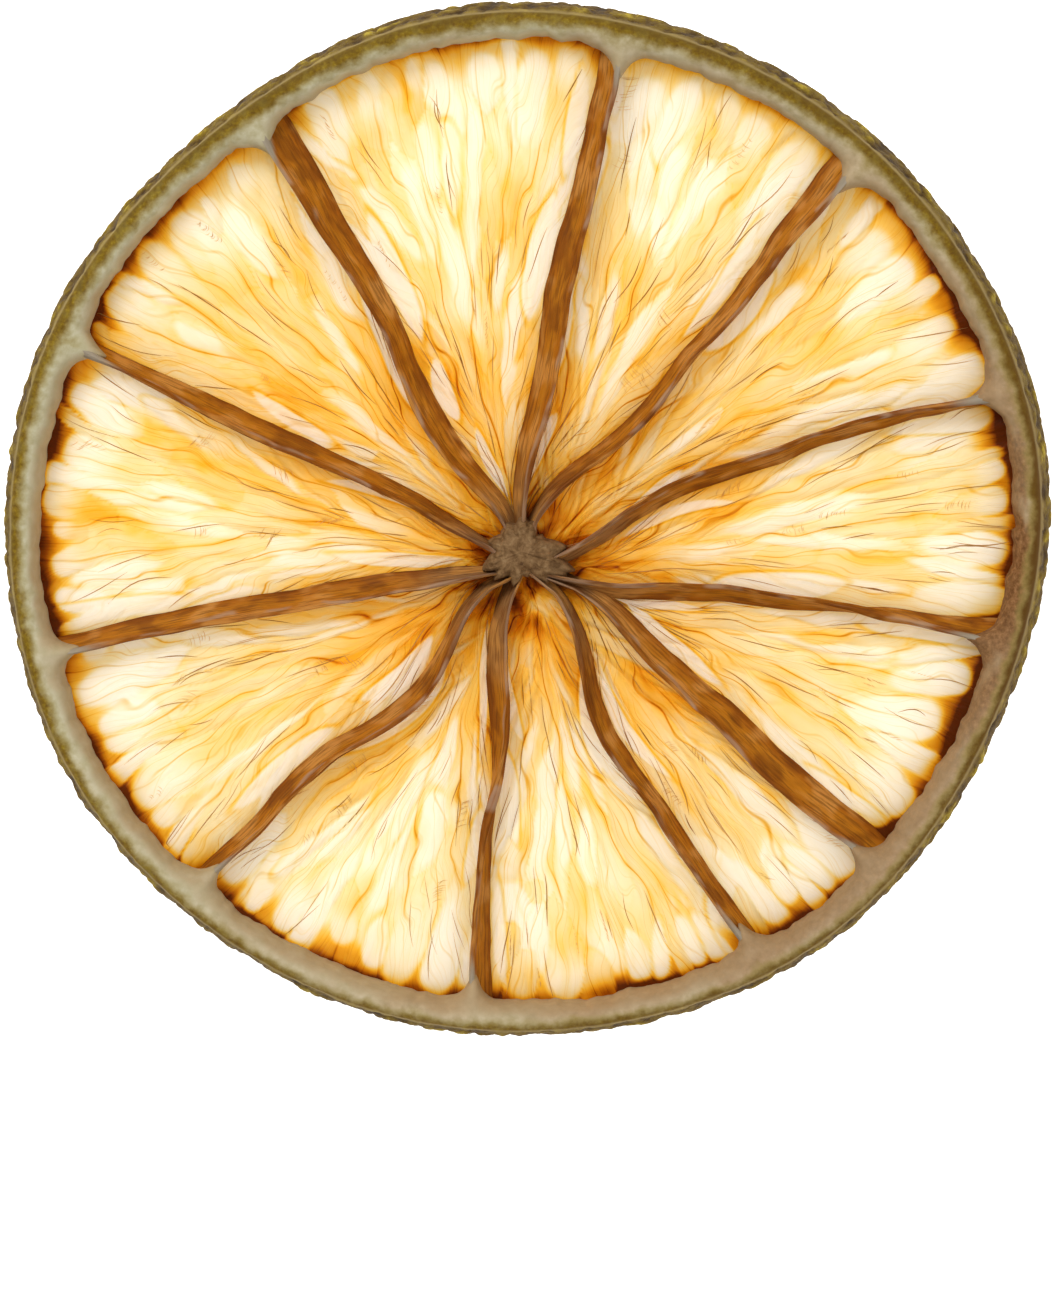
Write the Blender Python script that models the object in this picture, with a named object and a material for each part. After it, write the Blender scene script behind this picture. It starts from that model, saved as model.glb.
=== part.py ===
"""A dried lime slice that lies on its back cut face, with its front cut face up.

The slice is one piece: a ring of rind and pith, eleven thin walls that leaned over as they
dried, a crinkled sheet of dried pulp between them, and a lumpy core where the walls meet.
Each has a function of its own, and one union joins them into a single solid.

Lengths are in millimetres until the last step. +Z is up, +X and +Y lie in the cut face.
Angles are in degrees, anticlockwise from +X as seen from above.
"""

import math

import bmesh
import bpy
import numpy as np
from mathutils import Matrix, Vector, noise

METRES_PER_MM = 0.001

# The outline of the peel, about the slice's own centre: a mean radius and a few slow waves,
# each as its count round the slice, its height and the place of its first crest.
OUTLINE_RADIUS = 21.8
OUTLINE_WAVES = ((2, 0.20, 30), (3, 0.08, 78), (4, 0.09, 10), (5, 0.08, 17), (7, 0.06, 0))

# The rind's section, from the back cut round the outside to the front cut and the inner side.
# Each point is its depth in from the outline and its height, and marks where peel shows.
SLICE_THICKNESS = 3.4
RIND_SECTION = (
    (0.36, 0.00, False),
    (0.08, 0.40, True),
    (0.00, 1.05, True),
    (0.09, 1.90, True),
    (0.27, 2.70, True),
    (0.48, 3.24, True),
    (0.80, SLICE_THICKNESS, False),
    (1.22, 3.20, False),
    (1.46, 2.66, False),
    (1.55, 1.70, False),
    (1.45, 0.70, False),
    (1.05, 0.00, False),
)
RIND_COLUMNS = 144
PEEL_BUMP_HEIGHT = 0.13
PEEL_BUMP_LENGTH = 0.80
FRONT_WARP_HEIGHT = 0.11
FRONT_WARP_LENGTH = 9.0
FRONT_WARP_SEED = 4.0

# The eleven walls fan out from a hub below the slice's centre. Each row gives the angle of
# the wall's front edge at three radii from the hub, then how far its back edge lies to the
# side of it at those radii, anticlockwise, as the wall leaned over, and then the radius and
# the angle at which the front edge runs into the core.
HUB = Vector((0.04, -1.81))
RAY_REFINEMENTS = 8
WALL_RADII = (19.0, 11.8, 4.6)
WALLS = (
    ((21.6, 26.0, 29.5), (-0.35, -0.68, -0.65), (1.83, 23.0)),
    ((50.5, 51.3, 60.0), (1.10, 0.56, 0.57), (1.94, 78.7)),
    ((79.5, 80.3, 84.5), (0.93, 1.18, 0.80), (2.03, 92.4)),
    ((121.5, 121.0, 124.0), (-1.30, -0.93, -0.90), (1.91, 114.8)),
    ((153.8, 154.0, 151.0), (-0.50, -0.83, -0.40), (1.89, 150.6)),
    ((190.3, 190.3, 190.0), (-0.76, -0.90, -0.73), (1.92, 189.0)),
    ((224.5, 224.8, 228.0), (-0.56, -0.72, -0.65), (1.68, 208.5)),
    ((263.0, 261.0, 261.0), (1.00, 0.30, -0.95), (1.29, 246.6)),
    ((301.0, 298.3, 300.0), (0.50, 0.62, 0.50), (1.53, 320.6)),
    ((319.6, 319.7, 328.0), (1.27, 1.24, 0.73), (2.20, 338.8)),
    ((351.6, 354.0, 353.0), (0.83, -0.55, -0.65), (2.28, 348.3)),
)
LEAN_AT_CORE = 0.60
WALL_THICKNESS = 0.34
WALL_STATIONS = 9
WALL_CROWDING = 1.2
WALL_ROOT_IN_CORE = 0.6
WALL_ROOT_IN_RIND = 1.05
WALL_SWAY = 0.08
WALL_SWAY_RATE = 1.1
WALL_FLARE_THICKNESS = 0.95
WALL_FLARE_LENGTH = 1.3
WALL_TOP = (2.95, 2.70, 2.65)
WALL_BOTTOM = (0.40, 0.42, 0.42)

# The sheet of dried pulp: one sheet that runs through the walls and into the rind and core.
PULP_COLUMNS_PER_SEGMENT = 7
PULP_RINGS = 10
PULP_RING_CROWDING = 0.85
PULP_START = 0.75
PULP_FAN_RADII = (3.5, 19.0)
PULP_ROOT_IN_RIND = 1.25
PULP_MID_HEIGHT = 1.36
PULP_THICKNESS = 0.60
PULP_CLIMB = 0.30
PULP_CLIMB_SHARE_AT_WALL = 0.10
PULP_CLIMB_POWER_AT_RIND = 10
PULP_SAG = 0.16
PULP_SAG_LENGTH = 7.0
PULP_SAG_SEED = 9.0
CRINKLE_HEIGHT = 0.20
CRINKLE_ACROSS = 1.3
CRINKLE_ALONG = 3.6
CRINKLE_SEED = 3.0

# The core, where the walls meet: lumps, each by its place from the hub and its half sizes.
CORE_LUMPS = (
    ((-0.10, 0.40), (1.50, 1.50, 1.10)),
    ((1.35, -0.10), (1.15, 0.90, 1.00)),
    ((-1.20, -0.35), (1.10, 0.80, 0.95)),
)
CORE_HEIGHT = 1.66
CORE_ROUGHNESS = 0.22
CORE_ROUGHNESS_RATE = 1.7
CORE_ROUGHNESS_STEP = 5.0
CORE_SUBDIVISIONS = 2

# The finishes: each one's colour and how rough it is.
PEEL_FINISH = ((0.115, 0.085, 0.012), 0.6)
PITH_FINISH = ((0.42, 0.33, 0.21), 0.8)
WALL_FINISH = ((0.34, 0.13, 0.02), 0.45)
PULP_FINISH = ((0.85, 0.52, 0.15), 0.35)
CORE_FINISH = ((0.26, 0.15, 0.07), 0.7)
SHARP_EDGE_ANGLE = 50


def clear_scene():
    for obj in list(bpy.data.objects):
        bpy.data.objects.remove(obj)


def finish_named(name, colour, roughness):
    material = bpy.data.materials.new(name)
    material.use_nodes = True
    shader = material.node_tree.nodes["Principled BSDF"]
    shader.inputs["Base Color"].default_value = (*colour, 1.0)
    shader.inputs["Roughness"].default_value = roughness
    shader.inputs["Metallic"].default_value = 0.0
    material.diffuse_color = (*colour, 1.0)
    return material


def direction(angle):
    return Vector((math.cos(math.radians(angle)), math.sin(math.radians(angle))))


def outline_radius(angle):
    """The peel's distance from the slice's centre."""
    waves = sum(h * math.cos(math.radians(n * (angle - crest))) for n, h, crest in OUTLINE_WAVES)
    return OUTLINE_RADIUS + waves


def hub_to_rind(angle, depth):
    """How far from the hub a ray at this angle comes to that depth in the rind."""
    reach = OUTLINE_RADIUS
    for _ in range(RAY_REFINEMENTS):
        point = HUB + reach * direction(angle)
        place = math.degrees(math.atan2(point.y, point.x))
        reach += outline_radius(place) - depth - point.length
    return reach


def through(knots, radius):
    """The smooth curve through values given at distances from the hub, read at another one."""
    places, values = (np.array(row) for row in zip(*sorted(knots)))
    slopes = np.gradient(values, places)
    k = min(max(int(np.searchsorted(places, radius)) - 1, 0), len(places) - 2)
    gap = places[k + 1] - places[k]
    t = (radius - places[k]) / gap
    flat = min(max(t, 0.0), 1.0)
    curve = values[k] * (1 + 2 * flat) * (1 - flat) ** 2 + values[k + 1] * flat**2 * (3 - 2 * flat)
    curve += gap * (slopes[k] * flat * (1 - flat) ** 2 - slopes[k + 1] * flat**2 * (1 - flat))
    return float(curve + max(t - 1, 0) * gap * slopes[k + 1])


def wall_edges(wall, radius):
    """The front and back edges of a wall at a distance from the hub, as points seen from it."""
    angles, leans, (core_radius, core_angle) = wall
    angle = through([(core_radius, core_angle), *zip(WALL_RADII, angles)], radius)
    lean = through([(core_radius, leans[-1] * LEAN_AT_CORE), *zip(WALL_RADII, leans)], radius)
    front = direction(angle) * radius
    return front, front + direction(angle + 90) * lean


def wall_angle(wall, radius):
    """The angle of a wall's middle, seen from the hub, anticlockwise from the first wall."""
    front, back = wall_edges(wall, radius)
    middle = (front + back) / 2
    return math.degrees(math.atan2(middle.y, middle.x)) % 360


def mesh_object(name, points, faces, material):
    mesh = bpy.data.meshes.new(name)
    mesh.from_pydata([tuple(point) for point in points], [], faces)
    mesh.materials.append(material)
    obj = bpy.data.objects.new(name, mesh)
    bpy.context.scene.collection.objects.link(obj)
    face_outwards(mesh)
    return obj


def face_outwards(mesh):
    shape = bmesh.new()
    shape.from_mesh(mesh)
    bmesh.ops.recalc_face_normals(shape, faces=shape.faces)
    shape.to_mesh(mesh)
    shape.free()


def ring_faces(columns, rows, closed_rows):
    """Quads between columns that close on themselves, of rows that may close too."""
    faces = []
    for i in range(columns):
        j = (i + 1) % columns
        for k in range(rows if closed_rows else rows - 1):
            m = (k + 1) % rows
            faces.append((i * rows + k, j * rows + k, j * rows + m, i * rows + m))
    return faces


def make_rind(peel, pith):
    """The ring of rind: its section carried round the outline, with the peel's small bumps."""
    points = []
    for i in range(RIND_COLUMNS):
        angle = 360 * i / RIND_COLUMNS
        out = direction(angle)
        outline = outline_radius(angle)
        place = Vector((*(out * OUTLINE_RADIUS), FRONT_WARP_SEED))
        warp = FRONT_WARP_HEIGHT * noise.noise(place / FRONT_WARP_LENGTH)
        for depth, height, on_peel in RIND_SECTION:
            reach = outline - depth
            if on_peel:
                spot = Vector((*(out * reach), height)) / PEEL_BUMP_LENGTH
                reach += PEEL_BUMP_HEIGHT * noise.noise(spot)
            lifted = height + warp * height / SLICE_THICKNESS
            points.append(Vector((*(out * reach), lifted)))
    rind = mesh_object("lime_slice", points, ring_faces(RIND_COLUMNS, len(RIND_SECTION), True), peel)
    rind.data.materials.append(pith)
    last_peel_row = max(k for k, row in enumerate(RIND_SECTION) if row[2])
    for number, face in enumerate(rind.data.polygons):
        face.material_index = int(number % len(RIND_SECTION) > last_peel_row)
    return rind


def make_wall(number, wall, material):
    """One thin wall between two segments, from inside the core to inside the rind."""
    start = wall[-1][0] - WALL_ROOT_IN_CORE
    end = hub_to_rind(wall[0][0], WALL_ROOT_IN_RIND)
    points = []
    for k in range(WALL_STATIONS):
        radius = start + (end - start) * (k / (WALL_STATIONS - 1)) ** WALL_CROWDING
        front, back = wall_edges(wall, radius)
        across = Vector((-front.y, front.x)).normalized()
        to_rind = (end - radius) / WALL_FLARE_LENGTH
        flare = (WALL_FLARE_THICKNESS - WALL_THICKNESS) * math.exp(-(to_rind**2))
        half = across * (WALL_THICKNESS + flare) / 2
        sway = across * WALL_SWAY * math.sin(radius * WALL_SWAY_RATE + number)
        for edge, heights in ((front + sway, WALL_TOP), (back - sway, WALL_BOTTOM)):
            height = through(list(zip(WALL_RADII, heights)), max(radius, WALL_RADII[-1]))
            for side in (half, -half):
                points.append(Vector((*(HUB + edge + side), height)))
    last = 4 * (WALL_STATIONS - 1)
    faces = [(0, 2, 3, 1), (last + 1, last + 3, last + 2, last)]
    for k in range(0, last, 4):
        for a, b in ((0, 1), (1, 3), (3, 2), (2, 0)):
            faces.append((k + b, k + a, k + 4 + a, k + 4 + b))
    return mesh_object(f"wall_{number + 1:02d}", points, faces, material)


def pulp_height(place, share_across, share_out):
    """The height of the middle of the pulp sheet, and how far it climbs at what holds it."""
    to_wall = min(share_across, 1 - share_across)
    at_wall = math.exp(-((to_wall / PULP_CLIMB_SHARE_AT_WALL) ** 2))
    climb = PULP_CLIMB * max(at_wall, share_out**PULP_CLIMB_POWER_AT_RIND)
    sag = PULP_SAG * noise.noise(Vector((*place, PULP_SAG_SEED)) / PULP_SAG_LENGTH)
    return PULP_MID_HEIGHT + sag, climb


def make_pulp(material):
    """The sheet of dried pulp, crinkled in ridges that run out from the hub."""
    top, bottom = [], []
    count = len(WALLS)
    for i in range(count * PULP_COLUMNS_PER_SEGMENT):
        segment, step = divmod(i, PULP_COLUMNS_PER_SEGMENT)
        across = step / PULP_COLUMNS_PER_SEGMENT
        for k in range(PULP_RINGS):
            share = (k / (PULP_RINGS - 1)) ** PULP_RING_CROWDING
            radius = PULP_START + (OUTLINE_RADIUS - PULP_START) * share
            fan_radius = min(max(radius, PULP_FAN_RADII[0]), PULP_FAN_RADII[1])
            start = wall_angle(WALLS[segment], fan_radius)
            stop = wall_angle(WALLS[(segment + 1) % count], fan_radius)
            angle = start + ((stop - start) % 360) * across
            reach = PULP_START + (hub_to_rind(angle, PULP_ROOT_IN_RIND) - PULP_START) * share
            place = HUB + direction(angle) * reach
            middle, climb = pulp_height(place, across, share)
            for side, rows in ((1, top), (-1, bottom)):
                around = math.radians(angle) * reach / CRINKLE_ACROSS
                spot = (around, reach / CRINKLE_ALONG, CRINKLE_SEED * side)
                relief = CRINKLE_HEIGHT * noise.noise(spot)
                rows.append(Vector((*place, middle + relief + side * (PULP_THICKNESS / 2 + climb))))
    columns, rows = count * PULP_COLUMNS_PER_SEGMENT, 2 * PULP_RINGS
    points = []
    for i in range(columns):
        outwards = slice(i * PULP_RINGS, (i + 1) * PULP_RINGS)
        points += top[outwards] + bottom[outwards][::-1]
    return mesh_object("pulp", points, ring_faces(columns, rows, True), material)


def make_core_lump(number, place, size, material):
    """A lump of the core: a ball drawn out to its three half sizes and roughened."""
    shape = bmesh.new()
    bmesh.ops.create_icosphere(shape, subdivisions=CORE_SUBDIVISIONS, radius=1.0)
    apart = Vector((CORE_ROUGHNESS_STEP * number, 0, 0))
    for vertex in shape.verts:
        spot = vertex.co * CORE_ROUGHNESS_RATE + apart
        rough = 1 + CORE_ROUGHNESS * noise.noise(spot)
        x, y, z = (vertex.co[axis] * size[axis] * rough for axis in range(3))
        vertex.co = Vector((HUB.x + place[0] + x, HUB.y + place[1] + y, CORE_HEIGHT + z))
    mesh = bpy.data.meshes.new(f"core_{number}")
    shape.to_mesh(mesh)
    shape.free()
    mesh.materials.append(material)
    obj = bpy.data.objects.new(mesh.name, mesh)
    bpy.context.scene.collection.objects.link(obj)
    return obj


def join_into(base, others):
    """One union of the base with the others, applied, with the others then removed."""
    together = bpy.data.collections.new("to_join")
    for obj in others:
        together.objects.link(obj)
    union = base.modifiers.new("union", "BOOLEAN")
    union.operation = "UNION"
    union.operand_type = "COLLECTION"
    union.collection = together
    union.solver = "EXACT"
    union.material_mode = "TRANSFER"
    graph = bpy.context.evaluated_depsgraph_get()
    joined = bpy.data.meshes.new_from_object(base.evaluated_get(graph), depsgraph=graph)
    base.modifiers.remove(union)
    base.data = joined
    for obj in others:
        bpy.data.objects.remove(obj)
    bpy.data.collections.remove(together)


def stand_on_origin(obj):
    """Turns the mesh to metres, its box centred over the origin and its back face at height 0."""
    corners = [vertex.co for vertex in obj.data.vertices]
    low = Vector([min(corner[axis] for corner in corners) for axis in range(3)])
    high = Vector([max(corner[axis] for corner in corners) for axis in range(3)])
    foot = Vector(((low.x + high.x) / 2, (low.y + high.y) / 2, low.z))
    obj.data.transform(Matrix.Scale(METRES_PER_MM, 4) @ Matrix.Translation(-foot))


def main():
    clear_scene()
    peel = finish_named("peel", *PEEL_FINISH)
    pith = finish_named("pith", *PITH_FINISH)
    wall_finish = finish_named("segment_wall", *WALL_FINISH)
    pulp_finish = finish_named("pulp", *PULP_FINISH)
    core_finish = finish_named("core", *CORE_FINISH)
    lime_slice = make_rind(peel, pith)
    pieces = [make_pulp(pulp_finish)]
    pieces += [make_wall(number, wall, wall_finish) for number, wall in enumerate(WALLS)]
    for number, (place, size) in enumerate(CORE_LUMPS):
        pieces.append(make_core_lump(number, place, size, core_finish))
    join_into(lime_slice, pieces)
    stand_on_origin(lime_slice)
    lime_slice.data.shade_smooth()
    lime_slice.data.set_sharp_from_angle(angle=math.radians(SHARP_EDGE_ANGLE))


main()
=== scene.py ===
"""The looks of a dried lime slice that lies face up on a bright floor, seen from above.

The slice is modelled in millimetres about the centre of its outline, with +Z out of the face
that shows, and goes into the frame in metres. Angles are in degrees, anticlockwise from +X.
"""

import math

import bpy
import numpy as np
from mathutils import Matrix, Vector


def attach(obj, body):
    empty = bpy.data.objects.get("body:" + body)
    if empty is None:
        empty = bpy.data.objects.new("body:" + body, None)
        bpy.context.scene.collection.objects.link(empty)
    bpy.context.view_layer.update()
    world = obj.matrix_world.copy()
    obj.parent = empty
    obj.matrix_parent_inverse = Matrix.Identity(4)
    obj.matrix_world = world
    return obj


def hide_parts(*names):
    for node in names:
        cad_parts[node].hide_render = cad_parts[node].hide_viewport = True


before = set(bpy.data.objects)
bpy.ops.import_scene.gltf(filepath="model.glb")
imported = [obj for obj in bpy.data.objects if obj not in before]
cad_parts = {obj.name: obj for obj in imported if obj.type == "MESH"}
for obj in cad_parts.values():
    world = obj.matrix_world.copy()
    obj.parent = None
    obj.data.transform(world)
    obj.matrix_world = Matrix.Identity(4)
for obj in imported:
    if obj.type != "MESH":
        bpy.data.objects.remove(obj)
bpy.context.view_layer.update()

METRES_PER_MM = 0.001
# Where the centre of the outline lies in the frame, whose origin is the centre of the box.
OUTLINE_CENTRE = np.array([0.004, -0.128, 0.0])

# The photograph: its size, and where the slice's centre lies in it.
PHOTO_WIDTH, PHOTO_HEIGHT = 1054, 1292
SLICE_CENTRE_PX = (524, 527)
PX_PER_MM = 23.87

# The outline of the peel and the rind's section, as in the solid.
OUTLINE_RADIUS = 21.8
OUTLINE_WAVES = ((2, 0.20, 30), (3, 0.08, 78), (4, 0.09, 10), (5, 0.08, 17), (7, 0.06, 0))
SLICE_THICKNESS = 3.4
RIND_SECTION = (
    (0.36, 0.00), (0.08, 0.40), (0.00, 1.05), (0.09, 1.90), (0.27, 2.70), (0.48, 3.24),
    (0.80, 3.40), (1.22, 3.20), (1.46, 2.66), (1.55, 1.70), (1.45, 0.70), (1.05, 0.00),
)
FRONT_WARP_HEIGHT = 0.06

# The walls between the segments: the angle of each front edge at three distances from the
# hub, how far the back edge lies to the side of it there, and then the distance and the angle
# at which the front edge runs into the core.
HUB = np.array([0.04, -1.81])
# About how far the rind is from the hub.
USUAL_REACH = 20.0
WALL_RADII = (19.0, 11.8, 4.6)
WALLS = (
    ((21.6, 26.0, 29.5), (-0.35, -0.68, -0.65), (1.83, 23.0)),
    ((50.5, 51.3, 60.0), (1.10, 0.56, 0.57), (1.94, 78.7)),
    ((79.5, 80.3, 84.5), (0.93, 1.18, 0.80), (2.03, 92.4)),
    ((121.5, 121.0, 124.0), (-1.30, -0.93, -0.90), (1.91, 114.8)),
    ((153.8, 154.0, 151.0), (-0.50, -0.83, -0.40), (1.89, 150.6)),
    ((190.3, 190.3, 190.0), (-0.76, -0.90, -0.73), (1.92, 189.0)),
    ((224.5, 224.8, 228.0), (-0.56, -0.72, -0.65), (1.68, 208.5)),
    ((263.0, 261.0, 261.0), (1.00, 0.30, -0.95), (1.29, 246.6)),
    ((301.0, 298.3, 300.0), (0.50, 0.62, 0.50), (1.53, 320.6)),
    ((319.6, 319.7, 328.0), (1.27, 1.24, 0.73), (2.20, 338.8)),
    ((351.6, 354.0, 353.0), (0.83, -0.55, -0.65), (2.28, 348.3)),
)
CORE_LEAN = 0.60
# The heights of the walls' edges over and under the pulp, at distances from the hub.
WALL_TOP = ((19.0, 2.95), (11.8, 2.70), (4.6, 2.65), (1.5, 2.50))
WALL_BOTTOM = ((19.0, 1.66), (11.8, 1.60), (4.6, 1.58), (1.5, 1.55))
WALL_UNDER_TOP = ((19.0, 1.08), (1.5, 1.08))
WALL_UNDER_BOTTOM = ((19.0, 0.40), (11.8, 0.42), (4.6, 0.42), (1.5, 0.60))
WALL_START = 0.25
WALL_ROOT_IN_RIND = 1.10

# The sheet of dried pulp.
PULP_START = 0.2
PULP_ROOT_IN_RIND = 1.38
PULP_HEIGHT = 1.32
PULP_THICKNESS = 0.42

FINENESS = 1.0


def steps(count, multiple=2):
    """A number of steps, fewer while trying things out, as a multiple of a small number."""
    return max(multiple, int(round(count * FINENESS / multiple)) * multiple)


# Numbers

def lattice(column, row, seed):
    """A repeatable number from 0 to 1 for each cell of a square lattice."""
    mixed = column.astype(np.int64) * 374761393 + row.astype(np.int64) * 668265263
    mixed = (mixed + seed * 1442695041) & 0xFFFFFFFF
    mixed = ((mixed ^ (mixed >> 13)) * 1274126177) & 0xFFFFFFFF
    mixed = ((mixed ^ (mixed >> 16)) * 1597334677) & 0xFFFFFFFF
    return (mixed ^ (mixed >> 15)) / 0xFFFFFFFF


def noise(x, y, seed):
    """Smooth seeded noise from about -1 to 1, with features about one unit across."""
    x, y = np.broadcast_arrays(np.asarray(x, float), np.asarray(y, float))
    column, row = np.floor(x), np.floor(y)
    across, up = x - column, y - row

    def corner(dx, dy):
        turn = 2 * np.pi * lattice(column + dx, row + dy, seed)
        return np.cos(turn) * (across - dx) + np.sin(turn) * (up - dy)

    ease_x = across**3 * (across * (across * 6 - 15) + 10)
    ease_y = up**3 * (up * (up * 6 - 15) + 10)
    low = corner(0, 0) * (1 - ease_x) + corner(1, 0) * ease_x
    high = corner(0, 1) * (1 - ease_x) + corner(1, 1) * ease_x
    return 1.5 * (low * (1 - ease_y) + high * ease_y)


def rough(x, y, seed, octaves=3):
    """Noise with finer noise on top of it."""
    total, strength = 0.0, 1.0
    for octave in range(octaves):
        total += strength * noise(x * 2**octave, y * 2**octave, seed + 31 * octave)
        strength /= 2
    return total


def ease(low, high, value):
    """0 on one side of the first value and 1 on the other side of the second, eased between."""
    share = np.clip((value - low) / (high - low), 0, 1)
    return share * share * (3 - 2 * share)


def bell(distance, width):
    """1 at no distance, falling away to both sides."""
    return np.exp(-((distance / width) ** 2))


def turned(x, y, turn):
    """A place seen along a direction, in radians: how far along it and how far to its left."""
    return x * math.cos(turn) + y * math.sin(turn), -x * math.sin(turn) + y * math.cos(turn)


# Plan of the slice

def bearing(point):
    """The angle at which a point is seen from the origin."""
    return np.degrees(np.arctan2(point[..., 1], point[..., 0]))


def apart(angle, other):
    """How far one angle is from another, from -180 to 180 degrees."""
    return (angle - other + 180) % 360 - 180


def unit(angle):
    """The point one unit from the origin at an angle."""
    turn = np.radians(angle)
    return np.stack([np.cos(turn), np.sin(turn)], axis=-1)


def outline_radius(angle):
    """How far the outline is from the slice's centre at an angle."""
    waves = [h * np.cos(np.radians(n * (angle - crest))) for n, h, crest in OUTLINE_WAVES]
    return OUTLINE_RADIUS + sum(waves)


def hub_to_rind(angle, depth):
    """How far from the hub a ray at this angle comes to that depth in the rind."""
    reach = np.full(np.shape(angle), OUTLINE_RADIUS)
    for _ in range(8):
        point = HUB + reach[..., None] * unit(angle)
        reach += outline_radius(bearing(point)) - depth - np.hypot(point[..., 0], point[..., 1])
    return reach


def through(knots, radius):
    """A smooth curve through values given at distances from the hub, read at other distances."""
    knots = sorted(knots)
    places = np.array([place for place, _ in knots])
    values = np.array([value for _, value in knots])
    slopes = np.gradient(values, places)
    radius = np.clip(radius, places[0], places[-1] + 1.5)
    k = np.clip(np.searchsorted(places, radius) - 1, 0, len(places) - 2)
    gap = places[k + 1] - places[k]
    t = (radius - places[k]) / gap
    flat = np.minimum(t, 1)
    curve = (
        values[k] * (1 + 2 * flat) * (1 - flat) ** 2 + values[k + 1] * flat**2 * (3 - 2 * flat)
        + gap * (slopes[k] * flat * (1 - flat) ** 2 - slopes[k + 1] * flat**2 * (1 - flat))
    )
    return curve + (t - flat) * gap * slopes[k + 1]


def wall_edges(number, radius):
    """The front and back edges of a wall at a distance from the hub, as points seen from it."""
    number %= len(WALLS)
    angles, leans, (core_radius, core_angle) = WALLS[number]
    angle = through([(core_radius, core_angle), *zip(WALL_RADII, angles)], radius)
    lean = through([(core_radius, leans[2] * CORE_LEAN), *zip(WALL_RADII, leans)], radius)
    front = unit(angle) * np.asarray(radius)[..., None]
    across = unit(angle + 90)
    sway = 0.05 * noise(radius / 1.5, 0.5, 700 + number)
    sway += 0.08 * noise(radius / 4.0, 0.5, 720 + number)
    front += across * (sway * ease(2.0, 5.0, radius))[..., None]
    return front, front + across * lean[..., None]


def wall_seam_angle(number, radius):
    """The angle at which the pulp meets a wall, low on the wall's side."""
    front, back = wall_edges(number, radius)
    seam = front + (back - front) * 0.88
    first = WALLS[number % len(WALLS)][0][0]
    angle = first + (bearing(seam) - first + 180) % 360 - 180
    return angle + (360 if number >= len(WALLS) else 0)


# Meshes

def link_new(name, data):
    """A new object in the scene."""
    made = bpy.data.objects.new(name, data)
    bpy.context.scene.collection.objects.link(made)
    return made


def add_piece(name, material, points_mm, faces, masks):
    """A piece of the slice from its points, its faces and its masks.

    A mask gives each point a number, or three, that the material reads by the mask's name.
    """
    mesh = bpy.data.meshes.new(name)
    corners = np.asarray(faces, np.int32)
    sides = corners.shape[1]
    mesh.vertices.add(len(points_mm))
    placed = (points_mm + OUTLINE_CENTRE) * METRES_PER_MM
    mesh.vertices.foreach_set("co", placed.astype(np.float32).ravel())
    mesh.loops.add(corners.size)
    mesh.loops.foreach_set("vertex_index", corners.ravel())
    mesh.polygons.add(len(corners))
    mesh.polygons.foreach_set("loop_start", np.arange(0, corners.size, sides, dtype=np.int32))
    mesh.update(calc_edges=True)
    mesh.validate()
    for mask, values in masks.items():
        values = np.asarray(values, np.float32)
        kind, field = ("FLOAT", "value") if values.ndim == 1 else ("FLOAT_VECTOR", "vector")
        mesh.attributes.new(mask, kind, "POINT").data.foreach_set(field, values.ravel())
    mesh.materials.append(material)
    mesh.shade_smooth()
    piece = link_new(name, mesh)
    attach(piece, "root")
    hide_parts("lime_slice")


def joined(parts):
    """Several meshes as one, each given as its points, its faces and its masks."""
    points, faces, masks = zip(*parts)
    starts = np.cumsum([0, *map(len, points)])
    faces = np.vstack([part + start for part, start in zip(faces, starts)])
    masks = {name: np.concatenate([part[name] for part in masks]) for name in masks[0]}
    return np.vstack(points), faces, masks


def loop_faces(columns, rows, close_columns, close_rows):
    """Quads of a grid whose points run row by row within each column."""
    i = np.arange(columns if close_columns else columns - 1)
    k = np.arange(rows if close_rows else rows - 1)
    i, k = (part.ravel() for part in np.meshgrid(i, k, indexing="ij"))
    j, m = (i + 1) % columns, (k + 1) % rows
    return np.stack([i * rows + k, j * rows + k, j * rows + m, i * rows + m], axis=1)


# Materials

def linear(colour):
    """A colour as read off the photograph, 0 to 255, as linear light with an alpha of 1."""
    shares = [part / 255 for part in colour]
    light = (s / 12.92 if s <= 0.04045 else ((s + 0.055) / 1.055) ** 2.4 for s in shares)
    return (*light, 1.0)


class Value:
    """A number in a material, for sums with other such numbers and with fixed ones."""

    def __init__(self, paint, socket):
        self.paint = paint
        self.socket = socket

    def maths(self, operation, first, second=0.0):
        made = self.paint.node("ShaderNodeMath", {"operation": operation}, i0=first, i1=second)
        return Value(self.paint, made.outputs[0])

    def __add__(self, other):
        return self.maths("ADD", self, other)

    def __sub__(self, other):
        return self.maths("SUBTRACT", self, other)

    def __rsub__(self, other):
        return self.maths("SUBTRACT", other, self)

    def __mul__(self, other):
        return self.maths("MULTIPLY", self, other)

    def __abs__(self):
        return self.maths("ABSOLUTE", self)

    def sine(self):
        return self.maths("SINE", self)

    def at_least(self, other):
        return self.maths("MAXIMUM", self, other)

    def faded(self, low, high):
        """0 at a low value and 1 at a high one, or the other way round."""
        made = self.paint.node(
            "ShaderNodeMapRange", {"interpolation_type": "SMOOTHSTEP"},
            Value=self, From_Min=min(low, high), From_Max=max(low, high),
            To_Min=float(low > high), To_Max=float(high > low),
        )
        return Value(self.paint, made.outputs["Result"])


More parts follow.
